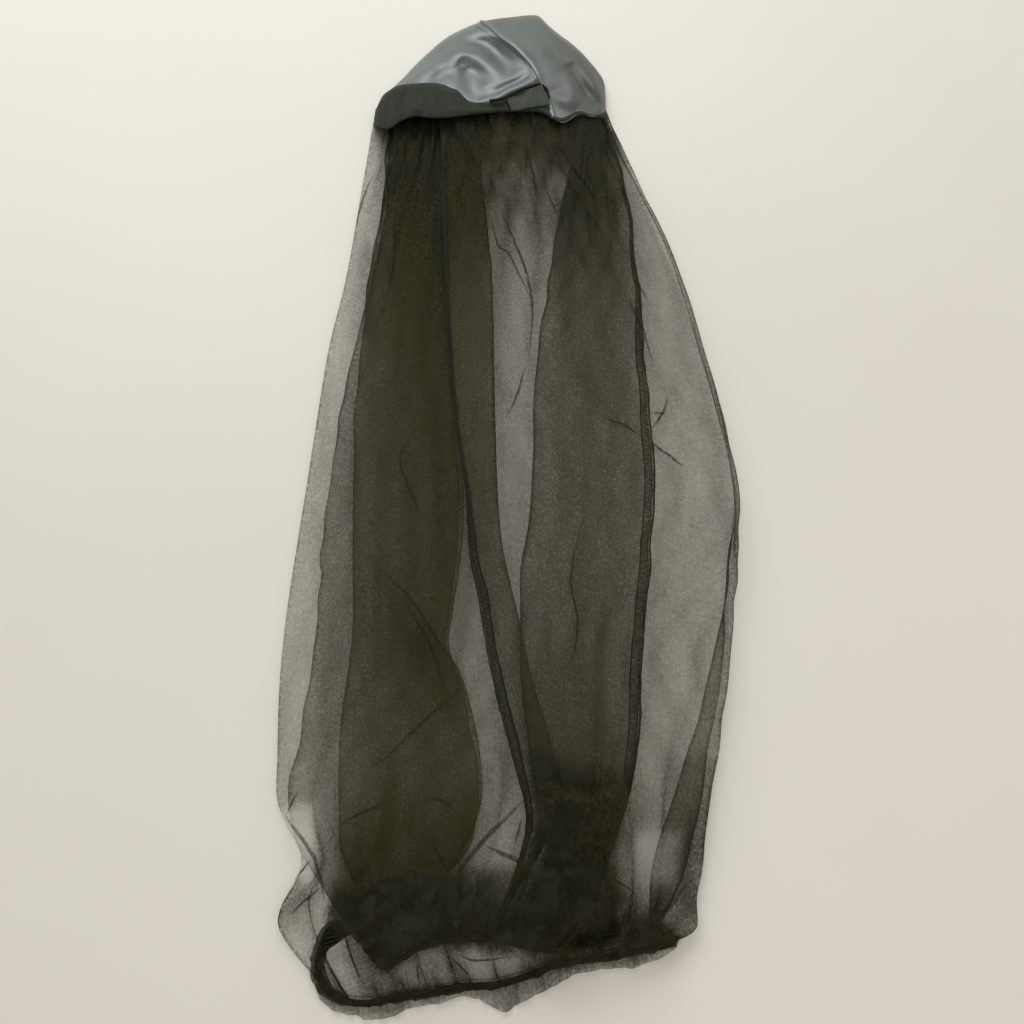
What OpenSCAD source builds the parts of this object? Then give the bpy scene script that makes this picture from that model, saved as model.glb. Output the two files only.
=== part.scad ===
// Head veil laid flat: a two-gore cloth crown, a gathered tube of netting in two
// panels, and a neck edge drawn in by an elastic inside a stitched casing.
// Row frame: X across the veil, +Y from the neck towards the crown, +Z up.
// The veil lies on the plane z = 0.

/* [Overall] */
// Height of the edge line along both sides of the laid veil
edge_z = 8; // [6:0.5:10]
// Y of the middle of the neck edge, where the netting meets the casing
neck_y = -282; // [-300:1:-260]
// Y of the seam between netting and crown band
band_y = 206; // [190:1:215]
// Width of the crown band, along Y
band_w = 13; // [8:0.5:16]
// Y of the crown's apex
apex_y = 310; // [290:1:315]

/* [Cloth] */
// Wall of the netting solids
net_t = 1.6; // [1:0.1:2.5]
// Wall of the crown cloth solids
crown_t = 1.4; // [1:0.1:2]
// Air gap left between neighbouring pieces
fit_gap = 0.3; // [0.2:0.05:0.5]

/* [Seams] */
// Width of the welts that join two panels
welt_w = 4; // [3:0.1:6]
// How far a welt stands proud of the cloth
welt_rise = 1.2; // [0.5:0.1:2]

/* [Neck] */
// Depth of the casing, along the netting
casing_d = 10; // [8:0.5:12]
// Depth of the frill beyond the casing
frill_d = 7; // [4:0.5:9]
// Width of the elastic band
elastic_w = 6; // [5:0.5:7]
// Thickness of the elastic band
elastic_t = 1.2; // [0.8:0.1:1.4]

/* [Stitches] */
// Length of one stitch
stitch_l = 3.4; // [2:0.1:4]
// Distance from one stitch to the next
stitch_pitch = 6; // [5:0.5:10]
// Thickness of the thread
thread_t = 0.6; // [0.4:0.05:0.8]

/* [Hidden] */

crown_colour = [0.33, 0.38, 0.34];
band_colour = [0.20, 0.23, 0.19];
net_colour = [0.24, 0.24, 0.18, 0.6];
welt_colour = [0.13, 0.13, 0.10];
elastic_colour = [0.12, 0.12, 0.10];
thread_colour = [0.30, 0.32, 0.26];

// Laid outline of the netting, as [y, left x, right x, height of the top].
outline = [
    [216, -89, 63, 26], [160, -96, 83, 31], [90, -105, 106, 34], [10, -114, 121, 36],
    [-60, -121, 125, 38], [-130, -125, 117, 40], [-200, -123, 104, 42],
    [-250, -114, 94, 40], [-282, -100, 80, 30], [-300, -97, 77, 25]
];
// The two panel seams where they run over the laid top, as [y, left seam x, right seam x].
seam_lines = [
    [216, -43, 49], [150, -41, 73], [80, -38, 79], [0, -31, 81], [-70, -21, 79],
    [-140, -13, 70], [-200, 1, 59], [-250, 5, 47], [-300, 7, 39]
];
// Laid outline of the crown, as [y, left x, right x].
crown_outline = [
    [219, -90, 63], [244, -85, 60], [264, -75, 53], [281, -61, 43], [295, -45, 31], [304, -28, 21], [310, 0, 0]
];
// The crown's own seam, as [y, x on the top face, x on the underside].
crown_line = [[219, 23, -34], [234, 21, -33], [252, 15, -31], [269, 4, -27], [284, -9, -20], [300, -20, -12], [310, -9, -9]];

net_rings = 26;
panel_steps = 22;
loop_steps = 72;
crown_rings = 12;
crown_base_y = band_y + band_w + fit_gap;
crown_top_z = 24;
skew_start_y = -180;
skew_most = 0.85;
skew_mid_z = 14;

// ---------- curves ----------

// Index of the stretch of a table that holds y; the first column falls from row to row or rises.
function row_of(t, y, i = 0) =
    i >= len(t) - 2 || (t[i + 1][0] - y) * (t[1][0] - t[0][0]) > 0 ? i : row_of(t, y, i + 1);

// Smooth interpolation of column c of a table at y.
function smooth_at(t, y, c) =
    let (
        i = row_of(t, y),
        p = t[max(i - 1, 0)], q = t[i], r = t[i + 1], s = t[min(i + 2, len(t) - 1)],
        u = max(0, min(1, (y - q[0]) / (r[0] - q[0]))),
        run = r[0] - q[0],
        mq = p[0] == r[0] ? 0 : (r[c] - p[c]) / (r[0] - p[0]) * run,
        mr = s[0] == q[0] ? 0 : (s[c] - q[c]) / (s[0] - q[0]) * run
    )
    (2 * u * u * u - 3 * u * u + 1) * q[c] + (u * u * u - 2 * u * u + u) * mq
    + (3 * u * u - 2 * u * u * u) * r[c] + (u * u * u - u * u) * mr;

function mid_x(y) = (smooth_at(outline, y, 1) + smooth_at(outline, y, 2)) / 2;
function half_w(y) = (smooth_at(outline, y, 2) - smooth_at(outline, y, 1)) / 2;
function top_z(y) = smooth_at(outline, y, 3);

// The neck end leans, so that the lower cloth reaches further than the upper cloth.
function skew(y) =
    let (u = max(0, min(1, (skew_start_y - y) / (skew_start_y - neck_y)))) skew_most * u * u;
function leaned(p, y) = [p[0], y + skew(y) * (p[1] - skew_mid_z), p[1]];

// One point of a laid cross-section, round which angle runs, off outside the cloth's outer face.
// Its underside is flat between the two turned-up edges.
function laid(angle, mid, half, top, low, off) =
    [mid + (half + off) * cos(angle),
     sin(angle) >= 0 ? edge_z + (top - edge_z + off) * pow(sin(angle), 0.6)
                     : max(edge_z - low - off, edge_z - (1.15 * low + off) * pow(-sin(angle), 0.4))];

// The same for the netting at y, in space.
function net_point(angle, y, off) =
    leaned(laid(angle, mid_x(y), half_w(y), top_z(y), edge_z - neck_lift(y), off), y);
// The cloth near the neck lifts clear of the surface, to leave room for the casing's wall.
function neck_lift(y) = let (u = max(0, min(1, (-200 - y) / 60))) 1.6 * u;

// The angle at which a cross-section reaches x on its top face.
function top_angle(x, y, off) = acos((x - mid_x(y)) / (half_w(y) + off));

// ---------- solids from sections ----------

// The end face of a wall's section, laid as a ladder from its outer points to its inner ones.
function ladder(first, k, back) = [for (j = [0 : k / 2 - 2])
    let (a = first + j, b = first + j + 1, c = first + k - 2 - j, d = first + k - 1 - j)
    each (back ? [[c, b, a], [d, c, a]] : [[a, b, c], [a, c, d]])];

// A solid through closed sections with the same number of points.
module loft(sections, loop = false) {
    n = len(sections);
    k = len(sections[0]);
    points = [for (s = sections) each s];
    sides = [for (i = [0 : n - (loop ? 1 : 2)]) for (j = [0 : k - 1])
        let (a = i * k + j, b = i * k + (j + 1) % k,
             c = ((i + 1) % n) * k + (j + 1) % k, d = ((i + 1) % n) * k + j)
        each [[a, b, c], [a, c, d]]];
    caps = loop ? [] : concat(ladder(0, k, true), ladder((n - 1) * k, k, false));
    polyhedron(points, concat(sides, caps), convexity = 10);
}

// A cloth wall through sections of outer then inner points, closed to an edge at a tip.
module tipped_wall(sections, tip_out, tip_in) {
    n = len(sections);
    k = len(sections[0]);
    m = k / 2;
    points = concat([for (s = sections) each s], [tip_out, tip_in]);
    last = (n - 1) * k;
    sides = [for (i = [0 : n - 2]) for (j = [0 : k - 1])
        let (a = i * k + j, b = i * k + (j + 1) % k, c = (i + 1) * k + (j + 1) % k, d = (i + 1) * k + j)
        each [[a, b, c], [a, c, d]]];
    fans = concat([for (j = [0 : m - 2]) [last + j, last + j + 1, n * k]],
                  [for (j = [m : k - 2]) [last + j, last + j + 1, n * k + 1]],
                  [[last + m - 1, last + m, n * k + 1], [last + m - 1, n * k + 1, n * k],
                   [last + k - 1, last, n * k], [last + k - 1, n * k, n * k + 1]]);
    polyhedron(points, concat(ladder(0, k, true), sides, fans), convexity = 10);
}

function ring_y(i) = band_y - fit_gap + (neck_y - band_y + 2 * fit_gap) * i / net_rings;

// ---------- netting ----------

// Section of the netting from angle a0 to a1 on the outer face and b0 to b1 on the inner one.
function wall_section(y, a0, a1, b0, b1) = concat(
    [for (j = [0 : panel_steps]) net_point(a0 + (a1 - a0) * j / panel_steps, y, 0)],
    [for (j = [panel_steps : -1 : 0]) net_point(b0 + (b1 - b0) * j / panel_steps, y, -net_t)]);

seam_clear = welt_w / 2 + fit_gap;
function left_edge(y, off, side) = top_angle(smooth_at(seam_lines, y, 1) + side * seam_clear, y, off);
function right_edge(y, off, side) = top_angle(smooth_at(seam_lines, y, 2) + side * seam_clear, y, off);

module net_panel_front()
    color(net_colour)
    loft([for (i = [0 : net_rings]) let (y = ring_y(i))
        wall_section(y, right_edge(y, 0, -1), left_edge(y, 0, 1),
                        right_edge(y, -net_t, -1), left_edge(y, -net_t, 1))]);

module net_panel_back()
    color(net_colour)
    loft([for (i = [0 : net_rings]) let (y = ring_y(i))
        wall_section(y, left_edge(y, 0, -1), 360 + right_edge(y, 0, 1),
                        left_edge(y, -net_t, -1), 360 + right_edge(y, -net_t, 1))]);

// A folded welt along one panel seam.
module side_seam(column)
    color(welt_colour)
    loft([for (i = [0 : net_rings]) let (y = ring_y(i), x = smooth_at(seam_lines, y, column))
        [for (c = [[1, welt_rise], [-1, welt_rise], [-1, -net_t], [1, -net_t]])
            net_point(top_angle(x + c[0] * welt_w / 2, y, c[1]), y, c[1])]]);

// Overlock stitches across one panel seam.
module side_seam_stitches(column)
    color(thread_colour)
    for (y = [band_y - 6 : -stitch_pitch * 1.5 : neck_y + 8]) {
        x = smooth_at(seam_lines, y, column);
        translate(net_point(top_angle(x, y, welt_rise), y, welt_rise))
            translate([0, 0, thread_t / 2 + 0.05])
            rotate([0, 0, 25])
            cube([stitch_l, thread_t, thread_t], center = true);
    }

// ---------- crown ----------

function crown_y(i) = crown_base_y + (apex_y - 5 - crown_base_y) * (1 - pow(1 - i / crown_rings, 1.5));
function crown_half(y) = (smooth_at(crown_outline, y, 2) - smooth_at(crown_outline, y, 1)) / 2;
function crown_mid(y) = (smooth_at(crown_outline, y, 2) + smooth_at(crown_outline, y, 1)) / 2;
function crown_top(y) =
    let (u = (y - crown_base_y) / (apex_y - crown_base_y)) edge_z + (crown_top_z - edge_z) * sqrt(max(0, 1 - u * u));
function crown_low(y) = let (u = (y - crown_base_y) / (apex_y - crown_base_y)) edge_z * sqrt(max(0, 1 - u * u));

function crown_point(angle, y, off) =
    let (p = laid(angle, crown_mid(y), crown_half(y), crown_top(y), crown_low(y), off)) [p[0], y, p[1]];
// Angle of the crown seam on the top face (face 1) or the underside (face 2), moved along X by dx.
function crown_angle(y, off, face, dx) =
    let (a = acos(max(-1, min(1,
        (smooth_at(crown_line, y, face) + dx - crown_mid(y)) / (crown_half(y) + off)))))
    face == 1 ? a : 360 - a;

function crown_section(y, a0, a1, b0, b1) = concat(
    [for (j = [0 : panel_steps]) crown_point(a0 + (a1 - a0) * j / panel_steps, y, 0)],
    [for (j = [panel_steps : -1 : 0]) crown_point(b0 + (b1 - b0) * j / panel_steps, y, -crown_t)]);

module crown_panel_left()
    color(crown_colour)
    tipped_wall([for (i = [0 : crown_rings]) let (y = crown_y(i))
        crown_section(y, crown_angle(y, 0, 1, -seam_clear), crown_angle(y, 0, 2, -seam_clear),
                         crown_angle(y, -crown_t, 1, -seam_clear), crown_angle(y, -crown_t, 2, -seam_clear))],
        [smooth_at(crown_line, apex_y, 1) - seam_clear, apex_y, edge_z],
        [smooth_at(crown_line, apex_y, 1) - seam_clear, apex_y - crown_t, edge_z]);

module crown_panel_right()
    color(crown_colour)
    tipped_wall([for (i = [0 : crown_rings]) let (y = crown_y(i))
        crown_section(y, crown_angle(y, 0, 2, seam_clear) - 360, crown_angle(y, 0, 1, seam_clear),
                         crown_angle(y, -crown_t, 2, seam_clear) - 360, crown_angle(y, -crown_t, 1, seam_clear))],
        [smooth_at(crown_line, apex_y, 1) + seam_clear, apex_y, edge_z],
        [smooth_at(crown_line, apex_y, 1) + seam_clear, apex_y - crown_t, edge_z]);

// The crown seam's turned allowance: up the top face, over the apex and back along the underside.
module crown_seam_welt() {
    path = concat([for (i = [0 : crown_rings]) [crown_y(i), 1]],
                  [for (i = [crown_rings : -1 : 0]) [crown_y(i), 2]]);
    color(crown_colour)
    loft([for (p = path) let (y = p[0], f = p[1])
        [for (c = [[1, welt_rise * (f == 1 ? 0.8 : 0)], [-1, welt_rise * (f == 1 ? 0.8 : 0)],
                   [-1, -crown_t], [1, -crown_t]])
            crown_point(crown_angle(y, c[1], f, c[0] * welt_w / 2), y, c[1])]]);
}

module crown_seam_stitches()
    color(thread_colour)
    for (y = [crown_base_y + 4 : stitch_pitch : apex_y - 12]) {
        x = smooth_at(crown_line, y, 1) - seam_clear - 2.5;
        a = acos((x - crown_mid(y)) / crown_half(y));
        translate(crown_point(a, y, 0))
            translate([0, 0, thread_t / 2 + 0.15])
            rotate([0, 0, 60])
            cube([stitch_l, thread_t, thread_t], center = true);
    }

// ---------- crown band ----------

band_off = 0.8;
function band_point(angle, y, off) =
    net_point(angle, min(y, outline[0][0]), off) + [0, max(0, y - outline[0][0]), 0];

module crown_band()
    color(band_colour)
    loft([for (i = [0 : loop_steps - 1]) let (a = 360 * i / loop_steps)
        [for (c = [[0, 0], [band_w, 0], [band_w, -crown_t], [0, -crown_t]])
            band_point(a, band_y + c[0], c[1])]], loop = true);

// The band's outer end, lapped over the crown cloth beside the crown seam.
lap_mid = [5, 227];
lap_size = [33, 26];
lap_turn = 7;
// Height of the cloth under the lap, which bridges from the band to the crown.
function under_lap(x, y) = max(
    band_point(top_angle(x, band_y + band_w / 2, 0), min(y, band_y + band_w), 0)[2] - max(0, y - crown_base_y) * 0.12,
    crown_point(acos((x - crown_mid(y)) / crown_half(y)), max(y, crown_base_y), 0)[2] + welt_rise);
module crown_band_lap() {
    n = 6;
    color(band_colour)
    loft([for (i = [0 : n]) let (u = (i / n - 0.5) * lap_size[0])
        let (strip = [for (j = [0 : n]) let (v = (j / n - 0.5) * lap_size[1])
            let (x = lap_mid[0] + u * cos(lap_turn) - v * sin(lap_turn),
                 y = lap_mid[1] + u * sin(lap_turn) + v * cos(lap_turn))
            [x, y, under_lap(x, y) + fit_gap]])
        concat([for (j = [n : -1 : 0]) strip[j]], [for (j = [0 : n]) strip[j] + [0, 0, crown_t]])]);
}

module crown_band_stitches()
    color(thread_colour)
    for (row = [2.5, band_w - 2.5])
        for (x = [-71 : stitch_pitch : 47])
            translate(band_point(top_angle(x, band_y + 5, 0), band_y + row, 0))
                translate([0, 0, thread_t / 2 + 0.15])
                cube([stitch_l, thread_t, thread_t], center = true);

// ---------- neck ----------

// Point of the neck loop: s along the netting past its end, off out of the cloth's middle.
wall_mid = -net_t / 2;
function neck_point(angle, s, off) = net_point(angle, neck_y - s, off + wall_mid);

casing_wall = 0.8;
casing_half = elastic_t / 2 + 0.5 + casing_wall;
module neck_casing() {
    wall_in = casing_half - casing_wall;
    fold = casing_d - casing_wall;
    profile = [
        [0, casing_half], [casing_d, casing_half], [casing_d, casing_wall], [casing_d + frill_d, casing_wall],
        [casing_d + frill_d, -casing_wall], [casing_d, -casing_wall], [casing_d, -casing_half], [0, -casing_half],
        [0, -wall_in], [fold, -wall_in], [fold, wall_in], [0, wall_in]
    ];
    color(net_colour)
    loft([for (i = [loop_steps - 1 : -1 : 0]) let (a = 360 * i / loop_steps)
        [for (c = profile) neck_point(a, c[0], c[1])]], loop = true);
}

module neck_elastic() {
    s0 = (casing_d - casing_wall - elastic_w) / 2;
    h = elastic_t / 2;
    color(elastic_colour)
    loft([for (i = [loop_steps - 1 : -1 : 0]) let (a = 360 * i / loop_steps)
        [for (c = [[s0, h], [s0 + elastic_w, h], [s0 + elastic_w, -h], [s0, -h]])
            neck_point(a, c[0], c[1])]], loop = true);
}

// Bar tacks that hold the elastic's lapped ends, on the top run inside the casing.
module elastic_join_stitches()
    color(thread_colour)
    for (k = [-1 : 1])
        translate(neck_point(78, casing_d / 2, elastic_t / 2) + [k * 3, 0, 0.22])
            rotate([atan(skew_most) - 45, 0, 0])
            cube([thread_t, elastic_w * 0.5, 0.3], center = true);

module neck_casing_stitches()
    color(thread_colour)
    for (a = [20 : 3.2 : 160])
        translate(neck_point(a, 1.6, casing_half))
            translate([0, 0, thread_t / 2 + 0.3])
            cube([stitch_l, thread_t, thread_t], center = true);

crown_panel_left();
crown_panel_right();
crown_seam_welt();
crown_seam_stitches();
crown_band();
crown_band_lap();
crown_band_stitches();
net_panel_front();
net_panel_back();
side_seam(1);  // side_seam_left
side_seam(2);  // side_seam_right
side_seam_stitches(1);  // side_seam_left_stitches
side_seam_stitches(2);  // side_seam_right_stitches
neck_casing();
neck_casing_stitches();
neck_elastic();
elastic_join_stitches();
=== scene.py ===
"""Head veil laid flat: cloth crown, gathered netting in two panels, elastic neck edge."""
import bpy
import math
from collections import namedtuple
import numpy as np
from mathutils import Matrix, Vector


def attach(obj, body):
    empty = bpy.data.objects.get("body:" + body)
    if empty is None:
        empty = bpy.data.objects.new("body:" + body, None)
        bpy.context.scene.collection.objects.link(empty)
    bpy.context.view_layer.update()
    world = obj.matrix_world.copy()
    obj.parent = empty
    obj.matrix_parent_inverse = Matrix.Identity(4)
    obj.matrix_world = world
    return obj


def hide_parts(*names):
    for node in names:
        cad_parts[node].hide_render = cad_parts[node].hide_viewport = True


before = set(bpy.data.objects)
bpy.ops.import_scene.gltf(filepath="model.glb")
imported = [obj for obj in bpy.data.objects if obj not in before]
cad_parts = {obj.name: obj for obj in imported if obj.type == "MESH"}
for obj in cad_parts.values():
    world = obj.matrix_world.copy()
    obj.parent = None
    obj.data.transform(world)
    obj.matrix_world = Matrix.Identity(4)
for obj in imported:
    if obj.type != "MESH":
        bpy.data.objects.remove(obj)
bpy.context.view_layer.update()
scene = bpy.context.scene

# ---------------------------------------------------------------- camera
EYE = (0.0, -0.2131, 0.4894)
TILT = 18.0
camera_data = bpy.data.cameras.new("camera")
camera_data.sensor_width = 36.0
camera_data.lens = 31.64
camera_data.clip_start = 0.01
camera = bpy.data.objects.new("camera", camera_data)
camera.location = EYE
camera.rotation_euler = (math.radians(TILT), 0.0, 0.0)
scene.collection.objects.link(camera)
scene.camera = camera
scene.cycles.transparent_max_bounces = 64
scene.view_settings.view_transform = "Standard"


# ---------------------------------------------------------------- numbers
def spline(points, x):
    """Smooth curve through (x, value) points, at x."""
    p = np.array(sorted(points), float)
    xs, ys = p[:, 0], p[:, 1]
    h = np.diff(xs)
    d = np.diff(ys) / h
    m = np.empty_like(ys)
    m[1:-1] = (d[:-1] * h[1:] + d[1:] * h[:-1]) / (h[:-1] + h[1:])
    m[0], m[-1] = d[0], d[-1]
    x = np.clip(np.asarray(x, float), xs[0], xs[-1])
    i = np.clip(np.searchsorted(xs, x) - 1, 0, len(h) - 1)
    t = (x - xs[i]) / h[i]
    return ((2 * t**3 - 3 * t**2 + 1) * ys[i] + (t**3 - 2 * t**2 + t) * h[i] * m[i]
            + (3 * t**2 - 2 * t**3) * ys[i + 1] + (t**3 - t**2) * h[i] * m[i + 1])


def noise(x, y, seed):
    """Smooth noise in -1..1, one feature per unit."""
    lattice = np.random.default_rng(seed).uniform(-1, 1, (128, 128))
    x, y = np.broadcast_arrays(np.asarray(x, float), np.asarray(y, float))
    i, j = np.floor(x).astype(int), np.floor(y).astype(int)
    u, v = x - i, y - j
    u, v = u * u * (3 - 2 * u), v * v * (3 - 2 * v)
    a, b = lattice[i % 128, j % 128], lattice[(i + 1) % 128, j % 128]
    c, d = lattice[i % 128, (j + 1) % 128], lattice[(i + 1) % 128, (j + 1) % 128]
    return (a * (1 - u) + b * u) * (1 - v) + (c * (1 - u) + d * u) * v


def blur(a, sigma, axis, wrap=False):
    """Gaussian blur of an array along one axis."""
    if sigma <= 0:
        return a
    r = int(3 * sigma + 1)
    k = np.exp(-0.5 * (np.arange(-r, r + 1) / sigma) ** 2)
    k /= k.sum()
    pad = [(0, 0)] * a.ndim
    pad[axis] = (r, r)
    p = np.pad(a, pad, mode="wrap" if wrap else "reflect", **({} if wrap else {"reflect_type": "odd"}))
    n = a.shape[axis]
    return sum(w * np.take(p, np.arange(i, i + n), axis) for i, w in enumerate(k))


def step(x, low, high):
    """0 below low, 1 above high, smooth between."""
    t = np.clip((x - low) / (high - low), 0, 1)
    return t * t * (3 - 2 * t)


def between(x, rise, full, fall, end):
    """1 from full to fall, 0 outside rise and end, smooth between."""
    return step(x, rise, full) * (1 - step(x, fall, end))


def distances(path):
    """Distance along a path to each of its points."""
    return np.concatenate([[0], np.cumsum(np.linalg.norm(np.diff(path, axis=0), axis=1))])


def walk(path, run, at):
    """Points of a path at some distances along it; run holds the distances of its own points."""
    return np.stack([np.interp(at, run, path[:, i]) for i in range(path.shape[1])], -1)


def along(points, w):
    """Places at shares w of a polyline's length, smoothed."""
    p = np.asarray(points, float)
    run = distances(p)
    run /= run[-1]
    return np.stack([spline(list(zip(run, p[:, i])), w) for i in range(p.shape[1])], -1)


def circle(count):
    """Directions round a circle, as (across, up)."""
    angle = np.linspace(0, 2 * np.pi, count, endpoint=False)
    return np.stack([np.cos(angle), np.sin(angle)], -1)


DIAMOND = np.array([[1, 0], [0, 1], [-1, 0], [0, -1]])


def laid(x, y, z):
    """A point that lies over (x, y) of the floor as the camera sees it, at height z; all in millimetres."""
    k = 1 - z / (EYE[2] * 1000)
    return np.stack(np.broadcast_arrays(x * k, EYE[1] * 1000 + (y - EYE[1] * 1000) * k, z), -1)


# ---------------------------------------------------------------- making meshes
def mesh_piece(name, points, faces, material, slot, replaces=(), uv=None, cover=None):
    """One piece from points in millimetres."""
    mesh = bpy.data.meshes.new(name)
    mesh.from_pydata((np.asarray(points) / 1000).tolist(), [], [list(map(int, f)) for f in faces])
    if uv is not None:
        layer = mesh.uv_layers.new(name="cloth")
        index = np.empty(len(mesh.loops), int)
        mesh.loops.foreach_get("vertex_index", index)
        layer.data.foreach_set("uv", np.asarray(uv, float)[index].ravel())
    if cover is not None:
        attribute = mesh.attributes.new("cover", "FLOAT", "POINT")
        attribute.data.foreach_set("value", np.asarray(cover, float).ravel())
    mesh.materials.append(material)
    mesh.polygons.foreach_set("use_smooth", [True] * len(mesh.polygons))
    mesh.update()
    piece = bpy.data.objects.new(name, mesh)
    scene.collection.objects.link(piece)
    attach(piece, "root")
    if replaces:
        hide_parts(*replaces)
    return piece


def grid_faces(rows, columns, wrap=False):
    """Quads of a grid whose points run row by row."""
    i, j = np.meshgrid(np.arange(rows - 1), np.arange(columns if wrap else columns - 1), indexing="ij")
    k = (j + 1) % columns
    corners = [i * columns + j, i * columns + k, (i + 1) * columns + k, (i + 1) * columns + j]
    return np.stack(corners, -1).reshape(-1, 4)


def grid_piece(name, grid, *about, wrap=False, **more):
    """One piece from a grid of points."""
    return mesh_piece(name, grid.reshape(-1, 3), grid_faces(*grid.shape[:2], wrap), *about, **more)


def pairs(a, b):
    """Every (a, b) of a grid, row by row."""
    return np.stack(np.broadcast_arrays(a, b), -1).reshape(-1, 2)


def tube(path, section, close=False):
    """Points and faces of a section, as [across, up] offsets, swept along a path."""
    path = np.asarray(path, float)
    ahead = (np.roll(path, -1, 0) - np.roll(path, 1, 0)) if close else np.gradient(path, axis=0)
    ahead /= np.linalg.norm(ahead, axis=1, keepdims=True) + 1e-9
    across = np.cross(ahead, (0.0, 0.0, 1.0))
    across /= np.linalg.norm(across, axis=1, keepdims=True) + 1e-9
    rise = np.cross(across, ahead)
    section = np.asarray(section, float)
    if section.ndim == 2:
        section = np.broadcast_to(section, (len(path),) + section.shape)
    points = path[:, None] + across[:, None] * section[..., :1] + rise[:, None] * section[..., 1:]
    n, k = points.shape[:2]
    faces = grid_faces(n, k, wrap=True).tolist()
    if close:
        faces += [[(n - 1) * k + j, (n - 1) * k + (j + 1) % k, (j + 1) % k, j] for j in range(k)]
    else:
        faces += [list(range(k))[::-1], [(n - 1) * k + j for j in range(k)]]
    return points.reshape(-1, 3), faces


def joined(parts):
    """Several (points, faces) as one."""
    points, faces, start = [], [], 0
    for p, f in parts:
        points.append(np.asarray(p))
        faces += [[start + int(i) for i in q] for q in f]
        start += len(p)
    return np.concatenate(points), faces


# ---------------------------------------------------------------- materials
class Nodes:
    """Short names for building a node tree."""

    def __init__(self, name):
        self.material = bpy.data.materials.new(name)
        self.material.use_nodes = True
        self.tree = self.material.node_tree
        self.tree.nodes.clear()
        self.output = self.tree.nodes.new("ShaderNodeOutputMaterial")

    def add(self, kind, inputs=None, **settings):
        node = self.tree.nodes.new("ShaderNode" + kind)
        for key, value in settings.items():
            setattr(node, key, value)
        for key, value in (inputs or {}).items():
            if isinstance(value, bpy.types.NodeSocket):
                self.tree.links.new(value, node.inputs[key])
            else:
                node.inputs[key].default_value = value
        return node

    def math(self, operation, a, b=None, c=None):
        node = self.add("Math", operation=operation)
        for i, value in enumerate((a, b, c)):
            if value is None:
                continue
            if isinstance(value, bpy.types.NodeSocket):
                self.tree.links.new(value, node.inputs[i])
            else:
                node.inputs[i].default_value = value
        return node.outputs[0]

    def times(self, a, b):
        return self.math("MULTIPLY", a, b)

    def plus(self, a, b):
        return self.math("ADD", a, b)

    def blend(self, first, *others):
        """Sum of (value, share) parts."""
        total = self.times(*first)
        for part in others:
            total = self.plus(total, self.times(*part))
        return total

    def noise(self, stretch, detail, roughness=0.5):
        """Noise over the object, stretch gives its features per metre."""
        return self.texture(self.position(stretch), detail, roughness)

    def texture(self, vector, detail, roughness):
        return self.add("TexNoise", {"Vector": vector, "Scale": 1.0, "Detail": detail,
                                     "Roughness": roughness}).outputs["Fac"]

    def threads(self, scale, distortion, direction):
        """Fine parallel bands."""
        settings = {"Vector": self.position(), "Scale": scale, "Distortion": distortion, "Detail": 2.0}
        return self.add("TexWave", settings, wave_type="BANDS", bands_direction=direction).outputs["Fac"]

    def bump(self, height, strength, distance):
        settings = {"Height": height, "Strength": strength, "Distance": distance}
        return self.add("Bump", settings).outputs["Normal"]

    def ramp(self, factor, stops):
        """Colours at their places along a factor."""
        node = self.add("ValToRGB", {"Fac": factor})
        while len(node.color_ramp.elements) < len(stops):
            node.color_ramp.elements.new(0.5)
        for element, (place, colour) in zip(node.color_ramp.elements, stops):
            element.position = place
            element.color = (*colour, 1.0)
        return node.outputs["Color"]

    def position(self, scale=(1, 1, 1)):
        """Object position, stretched."""
        source = self.add("TexCoord").outputs["Object"]
        return self.add("Mapping", {"Vector": source, "Scale": scale}).outputs["Vector"]

    def surface(self, **inputs):
        """The finished material, from what the principled shader takes."""
        shader = self.add("BsdfPrincipled", {key.replace("_", " "): value for key, value in inputs.items()})
        self.tree.links.new(shader.outputs[0], self.output.inputs["Surface"])
        return self.material


CELL = 1.35


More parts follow.
